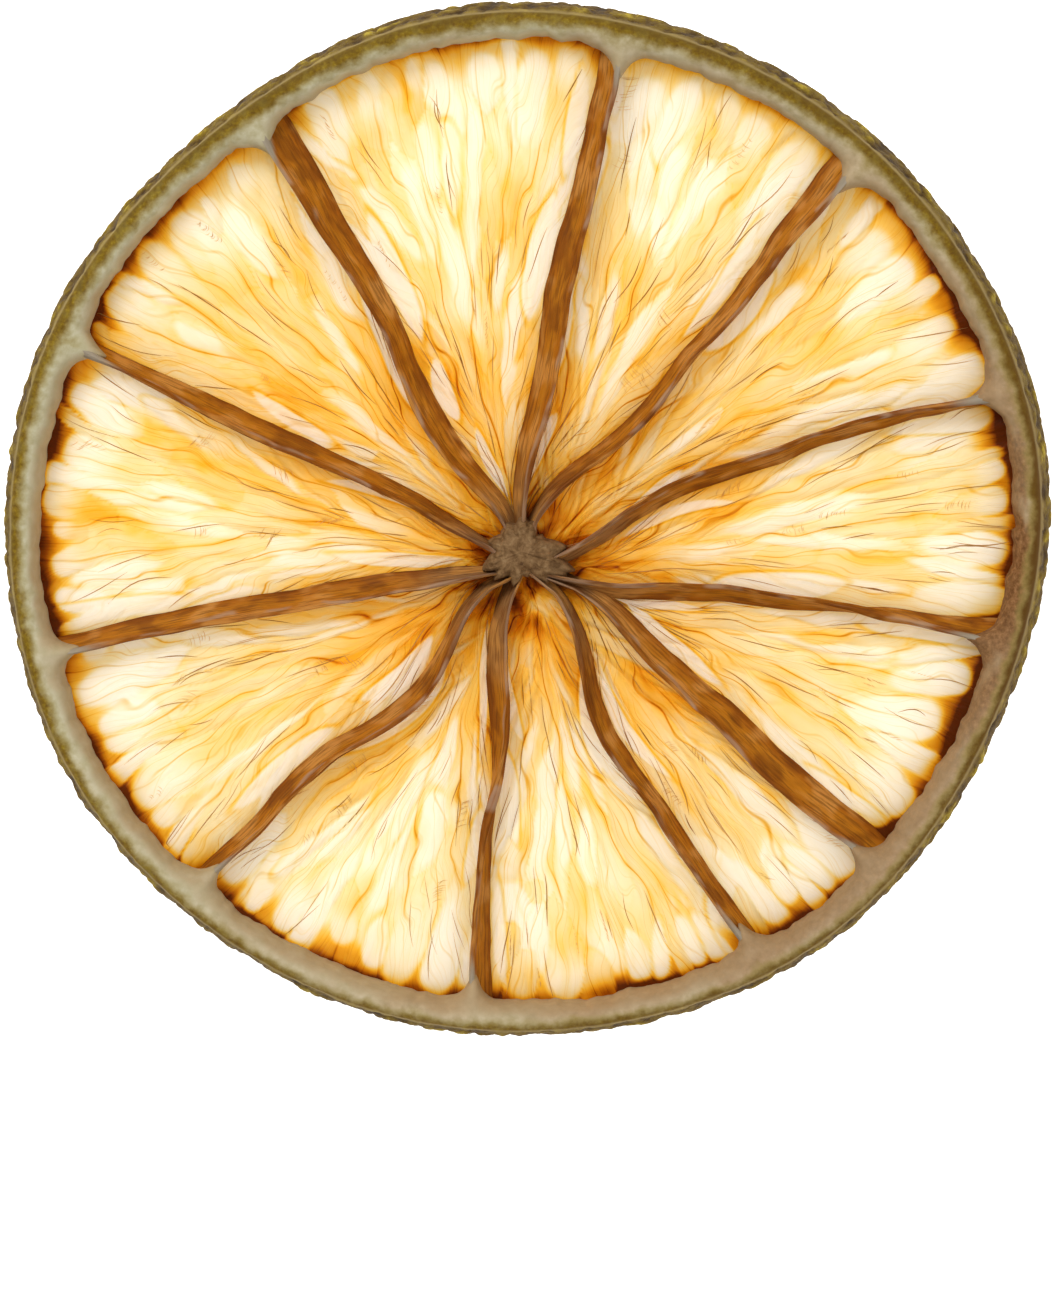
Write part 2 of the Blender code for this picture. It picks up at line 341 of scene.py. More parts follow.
class Paint:
    """A material, with short names for the nodes that it is made of."""

    def __init__(self, name):
        self.material = bpy.data.materials.new(name)
        self.material.use_nodes = True
        self.tree = self.material.node_tree
        self.tree.nodes.clear()

    def node(self, kind, settings=None, **inputs):
        """A node with its settings, and its inputs given as values or as sockets to link."""
        made = self.tree.nodes.new(kind)
        for name, value in (settings or {}).items():
            setattr(made, name, value)
        for name, value in inputs.items():
            key = int(name[1:]) if name[0] == "i" and name[1:].isdigit() else name.replace("_", " ")
            if isinstance(value, Value):
                value = value.socket
            if isinstance(value, bpy.types.NodeSocket):
                self.tree.links.new(value, made.inputs[key])
            else:
                made.inputs[key].default_value = value
        return made

    def mask(self, name):
        """The number that each point of the mesh has under this name."""
        found = self.node("ShaderNodeAttribute", {"attribute_name": name})
        return Value(self, found.outputs["Fac"])

    def vector_mask(self, name):
        return self.node("ShaderNodeAttribute", {"attribute_name": name}).outputs["Vector"]

    def parts_of(self, name):
        """The three numbers, X, Y and Z, that each point of the mesh has under this name."""
        parts = self.node("ShaderNodeSeparateXYZ", Vector=self.vector_mask(name))
        return {axis: Value(self, parts.outputs[axis]) for axis in "XYZ"}

    def ramp(self, factor, stops):
        """A ramp through stops of place and colour, the colours as read off the photograph."""
        made = self.node("ShaderNodeValToRGB", Fac=factor)
        elements = made.color_ramp.elements
        while len(elements) < len(stops):
            elements.new(0.5)
        for element, (place, colour) in zip(elements, stops):
            element.position = place
            element.color = linear(colour)
        return made.outputs["Color"]

    def mix(self, share, colour, other, blend="MIX"):
        """A colour with a share of another, which may be a colour as read off the photograph."""
        if isinstance(other, tuple):
            other = linear(other)
        settings = {"data_type": "RGBA", "blend_type": blend}
        return self.node("ShaderNodeMix", settings, i0=share, i6=colour, i7=other).outputs[2]

    def mix_numbers(self, share, number, other):
        made = self.node("ShaderNodeMix", {"data_type": "FLOAT"}, i0=share, i2=number, i3=other)
        return Value(self, made.outputs[0])

    def scaled(self, vector, scale):
        made = self.node("ShaderNodeVectorMath", {"operation": "MULTIPLY"}, i0=vector, i1=scale)
        return made.outputs[0]

    def noise(self, vector, scale, detail=3.0, roughness=0.55, distortion=0.0):
        made = self.node(
            "ShaderNodeTexNoise",
            Vector=vector, Scale=scale, Detail=detail, Roughness=roughness, Distortion=distortion,
        )
        return Value(self, made.outputs["Fac"])

    def millimetres(self):
        """The place on the slice, in millimetres."""
        place = self.node("ShaderNodeTexCoord").outputs["Object"]
        return self.scaled(place, (1 / METRES_PER_MM,) * 3)

    def bump(self, height, distance):
        made = self.node(
            "ShaderNodeBump", Height=height, Distance=distance * METRES_PER_MM, Strength=BUMP_STRENGTH
        )
        return made.outputs["Normal"]

    def finish(self, colour, roughness, specular, normal=None, see_through=0.0):
        """Ends the material: dull or slightly shiny, with a share of light coming through."""
        facing = {} if normal is None else {"Normal": normal}
        surface = self.node(
            "ShaderNodeBsdfPrincipled",
            Base_Color=colour, Roughness=roughness, Specular_IOR_Level=specular, **facing,
        )
        shader = surface.outputs[0]
        if see_through:
            glow = self.node("ShaderNodeBsdfTranslucent", Color=colour, **facing).outputs[0]
            shader = self.node("ShaderNodeMixShader", Fac=see_through, i1=shader, i2=glow).outputs[0]
        self.node("ShaderNodeOutputMaterial", Surface=shader)
        return self.material


BUMP_STRENGTH = 0.8

# How amber the pulp is, as a density, and its colour as the light comes through.
FULL_DENSITY = 2.6
PULP_COLOURS = (
    (0.00, (255, 254, 248)), (0.05, (253, 249, 236)), (0.22, (249, 239, 202)),
    (0.42, (250, 229, 164)), (0.65, (252, 219, 114)), (1.00, (250, 200, 58)),
    (1.50, (230, 156, 16)), (2.10, (172, 92, 2)), (FULL_DENSITY, (108, 48, 0)),
)
PULP_LINE = (204, 154, 88)
THREAD_COLOURS = ((0.0, (244, 212, 150)), (1.0, (196, 144, 70)))

# The walls across their width, near the rind and near the core, and what is mixed in: light and shade
# patches, dark streaks, a thin painted highlight line and the pale margin by the rind.
OUTER_WALL_COLOURS = (
    (0.00, (152, 84, 16)), (0.18, (186, 110, 22)), (0.55, (206, 130, 28)),
    (0.85, (182, 104, 16)), (1.00, (140, 72, 12)),
)
INNER_WALL_COLOURS = (
    (0.00, (142, 100, 64)), (0.20, (160, 118, 78)), (0.60, (170, 124, 76)),
    (0.85, (148, 102, 54)), (1.00, (104, 66, 32)),
)
WALL_LIGHT, WALL_SHADE, WALL_STREAK = (226, 158, 76), (128, 64, 12), (112, 60, 14)
WALL_PAINTED_HIGHLIGHT, WALL_MARGIN = (194, 158, 126), (178, 164, 142)

# The rind: its pith, which is warmer to the right, its stains, and the olive band and skin, with painted
# highlights on the tops of the skin's bumps.
PITH_COLOURS = ((0.25, (180, 170, 132)), (0.50, (194, 186, 152)), (0.75, (208, 202, 172)))
WARM_PITH_COLOURS = ((0.25, (160, 132, 96)), (0.50, (176, 148, 112)), (0.75, (194, 168, 132)))
STAIN_COLOURS = (
    (0.25, (88, 54, 26)), (0.45, (120, 80, 44)), (0.60, (144, 102, 62)), (0.80, (178, 134, 88)),
)
OLIVE_COLOURS = (
    (0.28, (92, 64, 2)), (0.46, (118, 88, 4)), (0.60, (134, 106, 8)), (0.78, (158, 132, 34)),
)
# The skin's colours, from between the bumps up to the painted highlights on their tops.
SKIN_AND_HIGHLIGHT_COLOURS = (
    (0.10, (60, 40, 4)), (0.42, (92, 68, 10)), (0.72, (120, 96, 16)), (1.00, (170, 146, 40)),
)
PITH_INSIDE, PITH_BY_OLIVE = (168, 138, 98), (156, 138, 76)
OLIVE_MOTTLE, OLIVE_OUTSIDE, OLIVE_BROWNED = (156, 140, 66), (84, 62, 6), (90, 58, 10)
PALE_LEDGE = (190, 168, 112)

CORE_COLOURS = (
    (0.28, (74, 48, 24)), (0.42, (110, 80, 48)), (0.56, (136, 104, 68)), (0.72, (158, 128, 90)),
    (0.84, (194, 170, 124)),
)


def stream_noise(paint, lanes, along, across_scale, along_scale, shift, detail=0.0):
    """Noise that runs out with the sacs, its lanes splitting as the segment widens."""
    found = []
    for lane, layer in (("X", "Y"), ("Y", "Z")):
        place = paint.node(
            "ShaderNodeCombineXYZ",
            X=lanes[lane] * across_scale, Y=along["X"] * along_scale, Z=along[layer] + shift,
        )
        found.append(paint.noise(place.outputs[0], 1.0, detail=detail))
    return paint.mix_numbers(lanes["Z"], found[1], found[0])


def lane_lines(paint, lanes, bend, times, width):
    """1 on thin lines that run out with the sacs, new ones coming in as the segment widens."""
    found = []
    for lane in "XY":
        wave = ((lanes[lane] * times + bend) * math.pi).sine()
        found.append(abs(wave).faded(width, 0.0))
    return paint.mix_numbers(lanes["Z"], found[1], found[0])


def pulp_material():
    paint = Paint("dried_pulp")
    lanes = paint.parts_of("lanes")
    along = paint.parts_of("along")
    wander = stream_noise(paint, lanes, along, 1.0, 0.16, 0.0, detail=1.0) - 0.5
    gate = stream_noise(paint, lanes, along, 1.6, 0.42, 80.0)
    grain = stream_noise(paint, lanes, along, 7.0, 0.9, 120.0, detail=2.0)
    vein = lane_lines(paint, lanes, wander * 0.6, 1.0, 0.15) * gate.faded(0.36, 0.60)
    hair = lane_lines(paint, lanes, wander * 2.6, 2.0, 0.20) * gate.faded(0.62, 0.42)
    hair_too = lane_lines(paint, lanes, wander * -3.4, 3.0, 0.24)
    drawn = (vein * 0.42 + hair * 0.25 + hair_too * 0.13) * paint.mask("lined")
    share = paint.mask("amber") * (1 / FULL_DENSITY)
    share = share + (grain - 0.5) * 0.30 * (share + 0.12) + drawn * 0.60
    stops = [(density / FULL_DENSITY, colour) for density, colour in PULP_COLOURS]
    colour = paint.mix(drawn * 1.4, paint.ramp(share, stops), PULP_LINE, "MULTIPLY")
    return paint.finish(colour, 0.42, 0.11, paint.bump(grain, 0.08), see_through=0.55)


def thread_material():
    paint = Paint("dried_threads")
    return paint.finish(paint.ramp(paint.mask("tone"), THREAD_COLOURS), 0.5, 0.12, see_through=0.65)


def wall_material():
    paint = Paint("segment_wall")
    across = paint.mask("across")
    outward = paint.mask("outward")
    flow = paint.vector_mask("flow")

    def streaked(scale, detail):
        """Noise drawn out along the wall, its scale given across, along and from side to side."""
        return paint.noise(paint.scaled(flow, scale), 1.0, detail=detail)

    streaks = paint.noise(flow, 1.0, detail=5.0, roughness=0.62)
    fine = streaked((4.0, 1.6, 1.0), 3.0)
    patches = streaked((0.30, 0.9, 1.0), 2.0)
    drift = (streaked((0.02, 0.55, 0.0), 2.0) - 0.42) * 1.5
    broken = streaked((0.05, 1.3, 0.0), 1.0)

    streak = (streaks - 0.5) * 0.50
    place = across + streak
    inner, outer = paint.ramp(place, INNER_WALL_COLOURS), paint.ramp(place, OUTER_WALL_COLOURS)
    colour = paint.mix(outward, inner, outer)
    colour = paint.mix(patches.faded(0.50, 0.62) * 0.70, colour, WALL_LIGHT)
    colour = paint.mix(patches.faded(0.48, 0.36) * 0.60, colour, WALL_SHADE)
    colour = paint.mix(fine.faded(0.54, 0.36) * 0.55, colour, WALL_STREAK)
    # A thin painted highlight line that wanders across the wall, whole near the core and broken up
    # further out.
    line = abs(across + streak * 0.3 - drift - 0.02).faded(0.15, 0.0)
    kept = broken.faded(0.44, 0.58).at_least(0.9 - outward)
    colour = paint.mix(line * 0.75 * kept, colour, WALL_PAINTED_HIGHLIGHT)
    colour = paint.mix(paint.mask("margin"), colour, WALL_MARGIN)
    relief = paint.bump(streaks + fine * 0.5, 0.12)
    return paint.finish(colour, 0.5, 0.12, relief, see_through=0.25)


def rind_material():
    paint = Paint("dried_rind")
    place = paint.millimetres()
    depth = paint.mask("depth")
    side = paint.mask("side")
    stain = paint.mask("stain")
    warm = paint.mask("warm")
    cloud = paint.noise(place, 1.1, detail=4.0)
    grain = paint.noise(place, 5.0, detail=4.0, roughness=0.65)
    soft = paint.noise(place, 2.2)
    mottle = paint.noise(place, 1.7, detail=2.0)

    # How far in from the olive band's wavy inner edge, in millimetres.
    edge = depth - paint.mask("band") + (cloud - 0.5) * 0.70 + (grain - 0.5) * 0.12

    pith = paint.mix(warm, paint.ramp(soft, PITH_COLOURS), paint.ramp(soft, WARM_PITH_COLOURS))
    pith = paint.mix(edge.faded(0.20, 0.60) * 0.60, pith, PITH_INSIDE)
    pith = paint.mix(stain, pith, paint.ramp(grain, STAIN_COLOURS))
    pith = paint.mix(edge.faded(0.30, -0.10) * 0.75, pith, PITH_BY_OLIVE)
    olive = paint.ramp(grain, OLIVE_COLOURS)
    olive = paint.mix(mottle.faded(0.48, 0.66) * 0.30, olive, OLIVE_MOTTLE)
    olive = paint.mix(edge.faded(-0.22, -0.50) * 0.6, olive, OLIVE_OUTSIDE)
    olive = paint.mix(stain * 0.6 + warm * 0.5, olive, OLIVE_BROWNED)
    cut = paint.mix(edge.faded(0.12, -0.26) * 0.95, pith, olive)
    ledge = depth.faded(0.30, 0.38) * depth.faded(0.48, 0.40)
    cut = paint.mix(ledge * 0.42, cut, PALE_LEDGE)
    # The skin's colour: painted highlights on the tops of the pimples and fine bumps, with the skin's
    # own mottling from the noise.
    light = paint.mask("tip") + (grain - 0.5) * 0.8 + (cloud - 0.5) * 1.3
    colour = paint.mix(side, cut, paint.ramp(light, SKIN_AND_HIGHLIGHT_COLOURS))
    relief = paint.bump(grain * (side * 0.75 + 0.25), 0.10)
    return paint.finish(colour, 0.7, 0.10, relief)


def core_material():
    paint = Paint("dried_core")
    grain = paint.noise(paint.millimetres(), 2.6, detail=6.0, roughness=0.7, distortion=0.6)
    return paint.finish(paint.ramp(grain, CORE_COLOURS), 0.65, 0.12, paint.bump(grain, 0.08))


# Rind

# The relief of the skin in millimetres: round pimples, fine pits, and how far it is sunk on average.
PIMPLE_SPACING, PIMPLE_HEIGHT = 0.74, 0.20
PIT_SPACING, PIT_HEIGHT = 0.33, 0.05
SKIN_SUNK = 0.12
# How much deeper the rind is where a wall runs into it, and how far to both sides.
WALL_FILLETS = ((0.45, 0.22), (0.55, 0.50), (0.25, 1.1))
DEEPEST_FILLET = 1.6
# The brown stains on the cut face: the angle, how far each reaches to both sides, how strong it is.
STAIN = (-5, 24, 1.0)
FAINT_STAIN = (-45, 30, 0.30)
# How wide the olive band is, by how much that varies, and the angle where it is widest.
OLIVE_BAND, OLIVE_BAND_SWING, OLIVE_BAND_CREST = 0.84, 0.17, 100
# The pith is palest at this angle, and warmer towards the other side.
PALEST_PITH_ANGLE = 150


def smooth_section(count):
    """The rind's section as a smooth closed curve with its flat back kept, from the back out."""
    section = np.array(RIND_SECTION)
    closed = np.vstack([section[-1], section, section[0]])
    pieces = []
    for k in range(1, len(closed) - 2):
        before, start, stop, after = closed[k - 1 : k + 3]
        t = np.linspace(0, 1, 12, endpoint=False)[:, None]
        pieces.append(0.5 * (
            2 * start + (stop - before) * t
            + (2 * before - 5 * start + 4 * stop - after) * t**2
            + (3 * start - before - 3 * stop + after) * t**3
        ))
    curve = np.vstack(pieces + [section[-1:]])
    curve[:, 1] = np.maximum(curve[:, 1], 0)
    along = np.concatenate([[0], np.cumsum(np.linalg.norm(np.diff(curve, axis=0), axis=1))])
    places = np.linspace(0, along[-1], count)
    return np.stack([np.interp(places, along, curve[:, axis]) for axis in (0, 1)], axis=1)


def bumps(x, y, spacing, seed):
    """Round bumps on a jittered lattice: 1 at a bump's top, 0 between bumps."""
    x, y = x / spacing, y / spacing
    column, row = np.floor(x), np.floor(y)
    nearest = np.full(x.shape, 9.0)
    for dx in (-1, 0, 1):
        for dy in (-1, 0, 1):
            place_x = column + dx + 0.15 + 0.7 * lattice(column + dx, row + dy, seed)
            place_y = row + dy + 0.15 + 0.7 * lattice(column + dx, row + dy, seed + 1)
            nearest = np.minimum(nearest, np.hypot(x - place_x, y - place_y))
    return np.clip(1 - (nearest / 0.75) ** 2, 0, 1)


def fillets_at(points):
    """How much deeper the rind is because of the walls that run in near these points."""
    from_hub = points - HUB
    far = np.linalg.norm(from_hub, axis=1)
    fillet = np.zeros(len(far))
    for number in range(len(WALLS)):
        front, _ = wall_edges(number, far)
        aside = np.radians(apart(bearing(from_hub), bearing(front))) * far
        fillet += sum(height * bell(aside, width) for height, width in WALL_FILLETS)
    return np.minimum(fillet, DEEPEST_FILLET)


def make_rind(material):
    """The ring of peel and pith, with pimples on its skin and a slightly warped cut face."""
    columns, rows = steps(1400), steps(44)
    section = smooth_section(rows)
    angle = np.repeat(np.arange(columns) * 360 / columns, rows)
    depth, height = np.tile(section, (columns, 1)).T
    row = np.tile(np.linspace(0, 1, rows), columns)
    out = unit(angle)
    around = np.radians(angle) * OUTLINE_RADIUS
    outline = outline_radius(angle)
    on_cut = ease(0.22, 0.46, depth) * (row > 0.3)
    inner = ease(1.0, 1.5, depth)

    waver = 0.30 * noise(around / 1.1, height / 1.1, 13)
    lump = bumps(around + waver, height * 1.15 + waver, PIMPLE_SPACING, 11)
    lump *= 0.65 + 0.5 * noise(around / 1.3, height / 1.3, 15)
    pit = bumps(around, height, PIT_SPACING, 17)
    side_relief = PIMPLE_HEIGHT * lump - SKIN_SUNK + PIT_HEIGHT * pit
    side_relief += 0.08 * rough(around / 1.6, height / 1.6, 19)
    cut_relief = 0.05 * rough(around / 0.9, depth / 0.5, 23)
    cut_relief += 0.02 * noise(around / 0.2, depth / 0.2, 29)

    fillet = fillets_at((outline - 1.5)[:, None] * out)
    depth_here = depth + inner * (0.14 * rough(around / 1.4, 2.5, 31))
    depth_here += inner * ease(0.9, 2.2, height) * fillet
    reach = outline - depth_here + (1 - on_cut) * side_relief * (height > 0.02)
    reach = np.minimum(reach, outline + 0.05)
    warp = FRONT_WARP_HEIGHT * noise(out[:, 0] * 2.4, out[:, 1] * 2.4, 37) - FRONT_WARP_HEIGHT
    lift = (warp + on_cut * cut_relief) * ease(0.5, 3.2, height)
    points = np.column_stack([out * reach[:, None], height + lift])

    blotches = ease(-0.7, 0.2, rough(around / 2.5, depth / 0.8, 41) + 0.45)
    stain, faint = (
        strength * bell(apart(angle, place), width) for place, width, strength in (STAIN, FAINT_STAIN)
    )
    warmth = 0.45 - 0.55 * np.cos(np.radians(angle - PALEST_PITH_ANGLE))
    masks = {
        "depth": depth,
        "band": OLIVE_BAND + OLIVE_BAND_SWING * np.cos(np.radians(angle - OLIVE_BAND_CREST)),
        "side": 1 - on_cut,
        # Where the skin's painted highlights go: the tops of the pimples and the fine bumps.
        "tip": lump * 0.75 + pit * 0.25,
        "stain": np.maximum(stain * blotches, faint),
        "warm": np.clip(warmth + 0.3 * rough(around / 4, depth, 43), 0, 1),
    }
    add_piece("rind", material, points, loop_faces(columns, rows, True, True), masks)


# Walls

# Half of a wall's thickness in millimetres, and what it gains along its front edge, there near
# the rind, and where the wall stands upright.
WALL_HALF = 0.085
WALL_BEAD, WALL_BEAD_AT_RIND = 0.02, 0.14
WALL_UPRIGHT = 0.11


def wall_strip(number, stations, half, shares, heights):
    """A thin strip between two edges, each a share of a wall's lean and a height."""
    end = float(hub_to_rind(np.array([WALLS[number][0][0]]), WALL_ROOT_IN_RIND)[0])
    radius = np.repeat(np.linspace(WALL_START, end, stations), 2 * half)
    share = np.tile(np.concatenate([np.linspace(0, 1, half), np.linspace(1, 0, half)]), stations)
    side = np.tile(np.concatenate([np.ones(half), -np.ones(half)]), stations)
    front, back = wall_edges(number, radius)
    across = np.stack([-front[:, 1], front[:, 0]], axis=1)
    across /= np.linalg.norm(across, axis=1, keepdims=True)
    begin, stop = shares
    lean = np.sum((back - front) * across, axis=1) * (stop - begin)
    level = 2.5 * number
    top = through(heights[0], radius) + 0.10 * noise(radius / 2.2, level, 51) * (1 - begin)
    drop = top - through(heights[1], radius)
    slant = np.hypot(lean, drop)

    bead = bell(share, 0.25)
    thick = WALL_HALF + WALL_BEAD * bead + WALL_BEAD_AT_RIND * bell(end - radius, 1.3) * bead
    thick = (thick + WALL_UPRIGHT * bell(lean, 0.32)) * (0.45 + 0.55 * ease(0.8, 4.0, radius))
    for edge in ((share - 0.10) / 0.10, (0.92 - share) / 0.08):
        thick = thick * np.sqrt(np.clip(1 - edge.clip(-1, 0) ** 2, 0, 1))
    thick *= 1 + 0.25 * noise(radius / 1.8, level + 1, 52)
    fold = 0.10 * noise(share * 1.6 + 9 * number, radius / 3.5, 53)
    fold += 0.035 * noise(share * 5 + 9 * number, radius / 1.2, 57)
    bow = -0.18 * np.sin(np.pi * share) * np.sign(lean) * ease(0.1, 0.5, np.abs(lean))
    offset = side * thick + fold * ease(0, 0.3, share) + bow
    place = begin + (stop - begin) * share
    plan = HUB + front + (back - front) * place[:, None] + across * (offset * drop / slant)[:, None]
    points = np.column_stack([plan, top - drop * share + offset * lean / slant])

    ring = np.arange(2 * half)
    caps = []
    for first in (0, (stations - 1) * 2 * half):
        for k in range(half - 1):
            cap = [first + ring[k], first + ring[k + 1], first + ring[-k - 2], first + ring[-k - 1]]
            caps.append(cap if first else cap[::-1])
    faces = np.vstack([loop_faces(stations, 2 * half, False, True), caps])

    from_cut = share if begin < stop else 1 - share
    horn = ease(2.6, 0.0, end - radius) * 0.42 / np.maximum(np.abs(lean), 0.4)
    masks = {
        "across": from_cut,
        "outward": ease(1.5, 6.5, radius + 2 * noise(radius / 3, level + 2, 58)),
        "margin": ease(horn + 0.10, horn - 0.02, from_cut) * ease(3.2, 1.2, end - radius),
        "flow": np.column_stack([share * 4 + 13 * number, radius * 0.45, side * 2]),
    }
    return points, faces, masks


def make_walls(material):
    """The leaning walls between the segments, above and below the pulp, as one piece."""
    strips = []
    for number in range(len(WALLS)):
        over, under = (WALL_TOP, WALL_BOTTOM), (WALL_UNDER_TOP, WALL_UNDER_BOTTOM)
        strips.append(wall_strip(number, steps(160), steps(12), (0, 1), over))
        strips.append(wall_strip(number, steps(90), steps(8), (0.95, 0.2), under))
    add_piece("segment_walls", material, *joined(strips))


# Core

# The core: its centre from the hub, how far it reaches out of that at each angle, and its height.
CORE_CENTRE = np.array([-0.13, 0.78])
CORE_OUTLINE = (
    (4, 1.85), (25, 1.20), (49, 0.95), (69, 1.40), (78, 1.25), (88, 1.50), (105, 1.18), (121, 1.42),
    (143, 1.10), (165, 1.50), (180, 1.25), (192, 1.50), (207, 1.90), (216, 1.45), (226, 1.80),
    (241, 1.25), (256, 1.62), (270, 1.12), (294, 1.15), (308, 1.75), (318, 1.60), (329, 2.15),
    (333, 2.05), (339, 2.35), (350, 1.60),
)
CORE_TOP, CORE_MIDDLE, CORE_BOTTOM = 2.80, 1.75, 0.95


def make_core(material):
    """The lumpy core, drawn out towards every wall."""
    around, up = steps(216), steps(60)
    turn = np.repeat(np.arange(around) * 360 / around, up)
    tilt = np.radians(np.tile(np.linspace(-90, 90, up), around))
    reach = np.interp(turn, *np.array(CORE_OUTLINE).T, period=360)
    wrap = unit(turn)
    size = reach + 0.10 * noise(wrap[:, 0] * 4, wrap[:, 1] * 4, 61)
    far = size * np.cos(tilt).clip(0) ** 0.34
    plan = HUB + CORE_CENTRE + wrap * far[:, None]
    top = (CORE_TOP - CORE_MIDDLE) * (1 - 0.30 * ease(0.9, 2.4, far))
    height = CORE_MIDDLE + np.where(tilt > 0, top, CORE_MIDDLE - CORE_BOTTOM) * np.sin(tilt)
    relief = 0.13 * rough(plan[:, 0] * 1.5, plan[:, 1] * 1.5, 71)
    relief += 0.05 * noise(plan[:, 0] * 6, plan[:, 1] * 6, 73)
    relief += 0.10 * noise(turn / 9, far / 1.5, 67) * ease(0.4, 1.0, far)
    points = np.column_stack([plan, height + relief * np.sin(tilt).clip(0)])
    add_piece("core", material, points, loop_faces(around, up, True, False), {})


# Pulp

SAC_SPREAD = 1.15
ALONG_POWER = 0.90
VEINS_PER_MM, VEIN_SPREAD = 0.9, 0.9


class Segment:
    """One segment's grid, from its first wall to the next and from the core to the rind."""

    def __init__(self, number):
        self.number = number
        self.columns, self.rows = steps(116, 4) + 1, steps(176, 4) + 1
        share = np.linspace(0, 1, self.columns)
        first, last = (wall_seam_angle(n, np.array(WALL_RADII[:1]))[0] for n in (number, number + 1))
        self.out_angle = first + (last - first) * share
        self.end = hub_to_rind(self.out_angle, PULP_ROOT_IN_RIND)
        along = np.linspace(0, 1, self.rows) ** ALONG_POWER
        self.along = np.tile(along, self.columns)
        share = np.repeat(share, self.rows)
        end = np.repeat(self.end, self.rows)
        self.radius = PULP_START + (end - PULP_START) * self.along
        low = wall_seam_angle(number, self.radius)
        high = wall_seam_angle(number + 1, self.radius)
        self.angle = low + (high - low) * share
        self.side = 2 * share - 1
        self.half_turn = np.radians(high - low) / 2
        self.to_wall = (1 - np.abs(self.side)) * self.half_turn * self.radius
        self.to_rind = end - self.radius
        turned_back = np.radians(self.angle - float(np.mean(self.out_angle)))
        self.x = self.radius * np.cos(turned_back)
        self.y = self.radius * np.sin(turned_back)
        self.plan = HUB + self.radius[:, None] * unit(self.angle)


def sacs_of(segment, seed, size):
    """Places juice sacs in a segment.

    For each it gives the centre, the direction, half the length, half the width, and whether it
    is one of the plump ones along the rind.
    """
    draw = np.random.default_rng(seed)
    placed = []
    half_turn = math.radians(segment.out_angle[-1] - segment.out_angle[0]) / 2
    end = float(np.mean(segment.end))

    def direction_at(x, y):
        side = math.atan2(y, x) / half_turn
        return math.atan2(y, x) + math.atan(SAC_SPREAD * half_turn * side)

    def room_for(x, y, long, wide, spare):
        for px, py, turn, other_long, other_wide, _ in placed:
            u, v = turned(x - px, y - py, turn)
            u, v = u / (other_long + long), v / (other_wide + wide)
            if u * u + v * v < spare:
                return False
        return True

    turn = -half_turn * 0.97
    while turn < half_turn * 0.97:
        wide = size * draw.uniform(0.38, 1.05)
        long = wide * draw.uniform(1.6, 3.4)
        turn += wide / end
        reach = end - draw.uniform(0.10, 0.95) - long
        x, y = reach * math.cos(turn), reach * math.sin(turn)
        placed.append((x, y, turn + draw.normal(0, 0.22), long, wide, 1))
        turn += wide / end + draw.choice([0.0, 0.05, 0.45, 0.9]) / end
    for _ in range(2000):
        reach = end * math.sqrt(draw.uniform(0.01, 0.92))
        turn = draw.uniform(-1, 1) * half_turn
        x, y = reach * math.cos(turn), reach * math.sin(turn)
        wide = size * draw.uniform(0.36, 0.90) * (0.30 + 0.70 * (reach / end))
        long = draw.uniform(1.8, 3.8)
        if room_for(x, y, long, wide, 0.60):
            placed.append((x, y, direction_at(x, y) + draw.normal(0, 0.09), long, wide, 0))
    return np.array(placed)


def sac_fields(segment, sacs, warp):
    """For each point the nearest sac, how far out in it the point lies, and the gap to the next."""
    x = segment.x + warp * noise(segment.x / 1.3, segment.y / 0.8, 81)
    y = segment.y + warp * noise(segment.x / 1.3, segment.y / 0.8, 83)
    nearest = np.full(len(x), 9.0)
    second = np.full(len(x), 9.0)
    owner = np.zeros(len(x), int)
    along = np.zeros(len(x))
    for number, (px, py, turn, long, wide, _) in enumerate(sacs):
        u, v = turned(x - px, y - py, turn)
        u = u / long
        v = v / wide / (0.82 + 0.22 * np.clip(u, -1.5, 1.0))
        far = (np.abs(u) ** 2.4 + np.abs(v) ** 2.4) ** (1 / 2.4)
        closer = far < nearest
        second = np.where(closer, nearest, np.minimum(second, far))
        owner = np.where(closer, number, owner)
        along = np.where(closer, u, along)
        nearest = np.minimum(nearest, far)
    gap = (second - nearest) * sacs[owner, 4]
    return nearest, gap, owner, along


